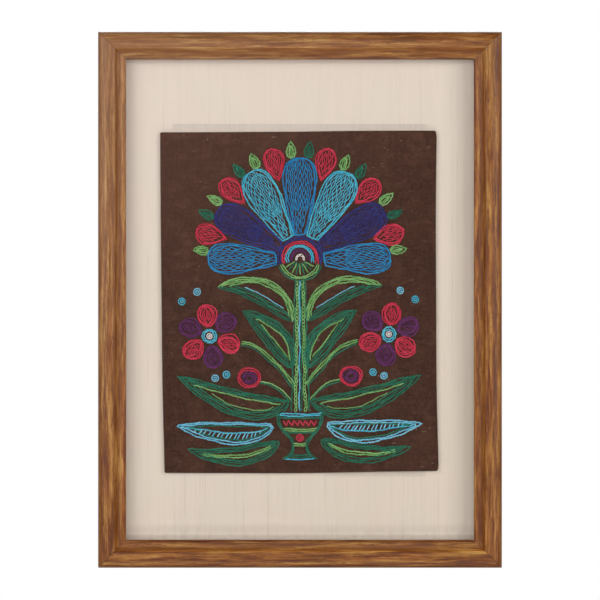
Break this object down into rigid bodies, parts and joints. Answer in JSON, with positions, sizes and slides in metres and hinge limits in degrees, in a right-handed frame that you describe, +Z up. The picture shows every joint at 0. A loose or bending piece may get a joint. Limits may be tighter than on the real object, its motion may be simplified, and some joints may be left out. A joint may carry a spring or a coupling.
{
  "type": "framed silk embroidery in a wooden picture frame",
  "caption": "Wall-hung embroidered cloth on a silk ground, under glass in a mitred wooden picture frame.",
  "frame": {"origin": "on the back of the top rail, half way along it, where the wall holds the frame", "axes": "-Y out of the wall towards the viewer, +Z up, +X to the viewer's right"},
  "size_m": [0.305, 0.022, 0.405],
  "materials": {
    "wood": "stained and waxed wood with streaky grain",
    "clear_glass": "clear polished pane",
    "silk": "cream slubbed silk",
    "board": "plain board",
    "brown_cloth": "dark brown plain weave, embroidered"
  },
  "bodies": {
    "root": {"rail_top": "wood", "rail_right": "wood", "rail_bottom": "wood", "rail_left": "wood", "glass": "clear_glass", "silk_ground": "silk", "mount_board": "board", "embroidery_cloth": "brown_cloth"}
  },
  "joints": []
}
